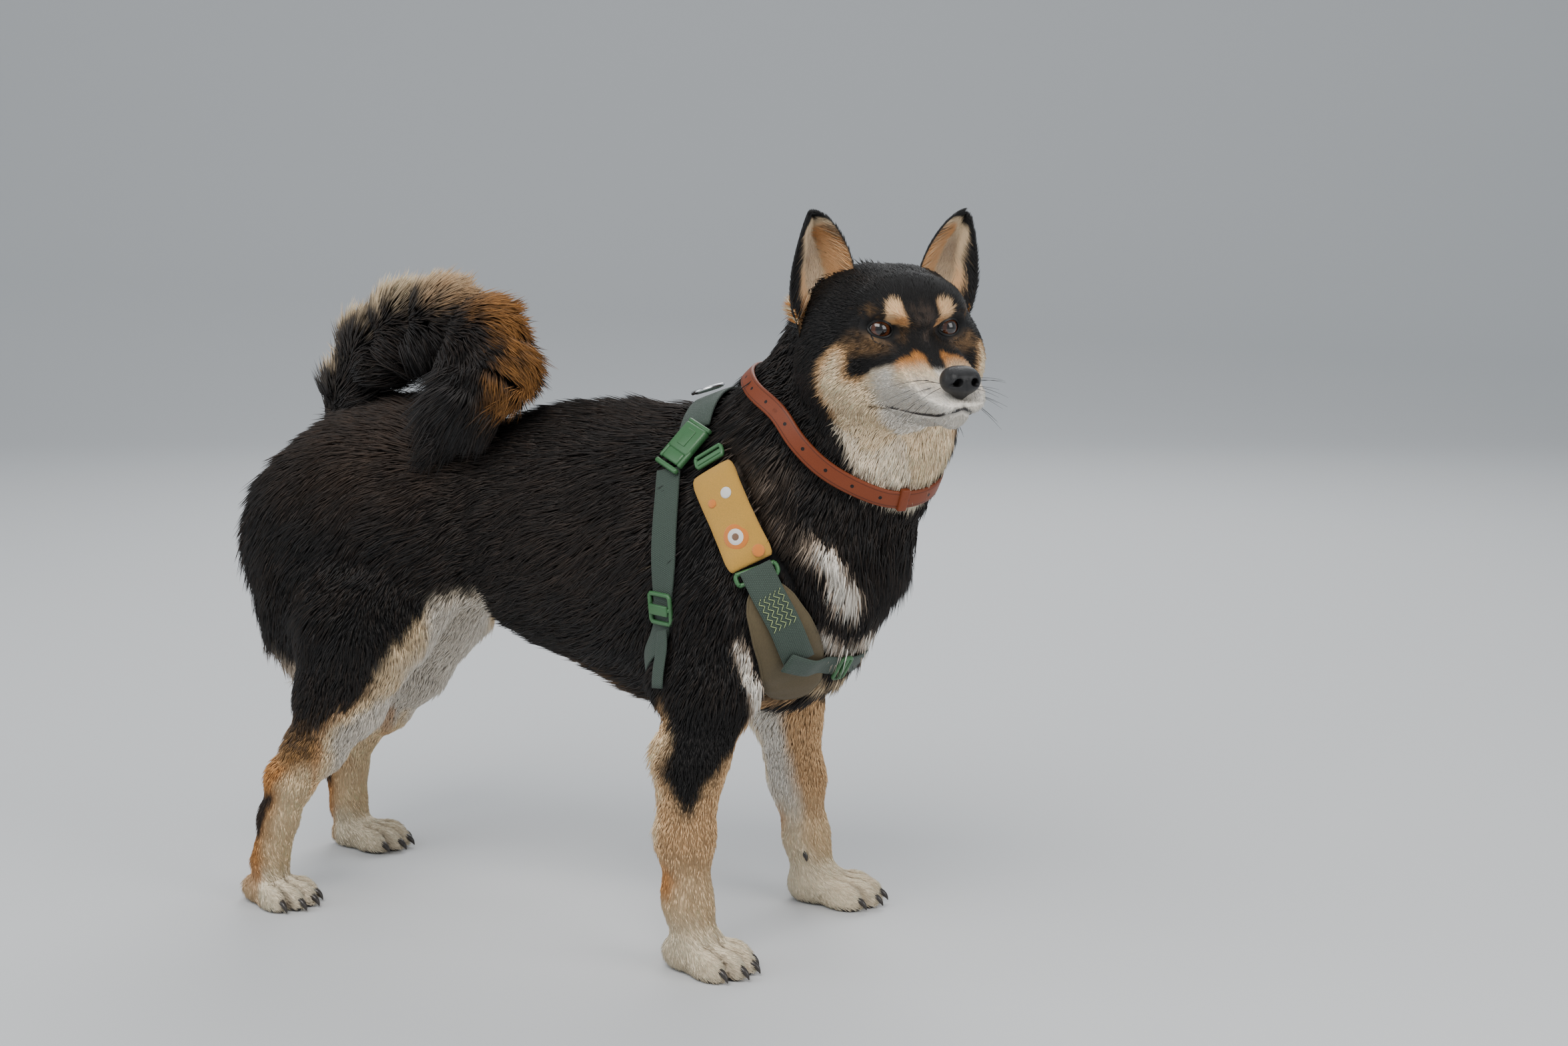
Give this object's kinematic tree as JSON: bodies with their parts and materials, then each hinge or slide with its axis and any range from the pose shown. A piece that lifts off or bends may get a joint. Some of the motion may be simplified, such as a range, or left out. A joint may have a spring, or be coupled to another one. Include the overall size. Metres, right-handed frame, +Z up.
{
  "type": "shiba inu dog",
  "caption": "Small spitz dog standing on four legs with curled tail and turned head, wearing a leather collar and a webbing chest harness.",
  "frame": {"origin": "on the floor, below the middle of the dog's bounding box; the soles lie on the floor", "axes": "+X towards the dog's front along its trunk, +Y to its left, +Z up"},
  "size_m": [0.6624, 0.2578, 0.5599],
  "materials": {
    "coat_black": "long dense hair, black with a little brown",
    "coat_tan": "short dense hair, tan to orange",
    "coat_cream": "short dense hair, cream to white",
    "nose_skin": "moist, finely pebbled black skin",
    "eye": "wet dark brown eye with a black pupil",
    "claw_horn": "dark horn, satin",
    "collar_leather": "cognac leather with punched holes and a pressed edge line",
    "webbing": "grey-green woven webbing, satin",
    "green_plastic": "moulded green plastic, satin",
    "pad_cloth": "olive brown padded cloth",
    "sleeve_plush": "yellow plush sleeve with plain round patches",
    "ring_steel": "polished steel"
  },
  "bodies": {
    "root": {"back_strap": "webbing", "chest": "coat_black", "chest_pad_left": "pad_cloth", "chest_pad_right": "pad_cloth", "chest_slider": "green_plastic", "chest_strap": "webbing", "claw_fore_left_1": "claw_horn", "claw_fore_left_2": "claw_horn", "claw_fore_left_3": "claw_horn", "claw_fore_left_4": "claw_horn", "claw_fore_right_1": "claw_horn", "claw_fore_right_2": "claw_horn", "claw_fore_right_3": "claw_horn", "claw_fore_right_4": "claw_horn", "claw_hind_left_1": "claw_horn", "claw_hind_left_2": "claw_horn", "claw_hind_left_3": "claw_horn", "claw_hind_left_4": "claw_horn", "claw_hind_right_1": "claw_horn", "claw_hind_right_2": "claw_horn", "claw_hind_right_3": "claw_horn", "claw_hind_right_4": "claw_horn", "collar": "collar_leather", "d_ring": "ring_steel", "ear_left": "coat_black", "ear_right": "coat_black", "eye_left": "eye", "eye_right": "eye", "girth_slider_left": "green_plastic", "girth_slider_right": "green_plastic", "girth_strap_left": "webbing", "girth_strap_right": "webbing", "girth_under": "webbing", "head": "coat_black", "loin_and_rump": "coat_black", "lower_foreleg_left": "coat_tan", "lower_foreleg_right": "coat_tan", "lower_hind_leg_left": "coat_tan", "lower_hind_leg_right": "coat_tan", "muzzle": "coat_cream", "neck": "coat_black", "nose": "nose_skin", "shoulder_loop_left": "green_plastic", "shoulder_loop_right": "green_plastic", "shoulder_sleeve_left": "sleeve_plush", "shoulder_sleeve_right": "sleeve_plush", "shoulder_slider_left": "green_plastic", "shoulder_slider_right": "green_plastic", "shoulder_strap_left": "webbing", "shoulder_strap_right": "webbing", "side_buckle_left": "green_plastic", "side_buckle_right": "green_plastic", "strap_end": "webbing", "tail_base": "coat_black", "tail_curl": "coat_tan", "thigh_left": "coat_black", "thigh_right": "coat_black", "upper_foreleg_left": "coat_black", "upper_foreleg_right": "coat_black"}
  },
  "joints": []
}
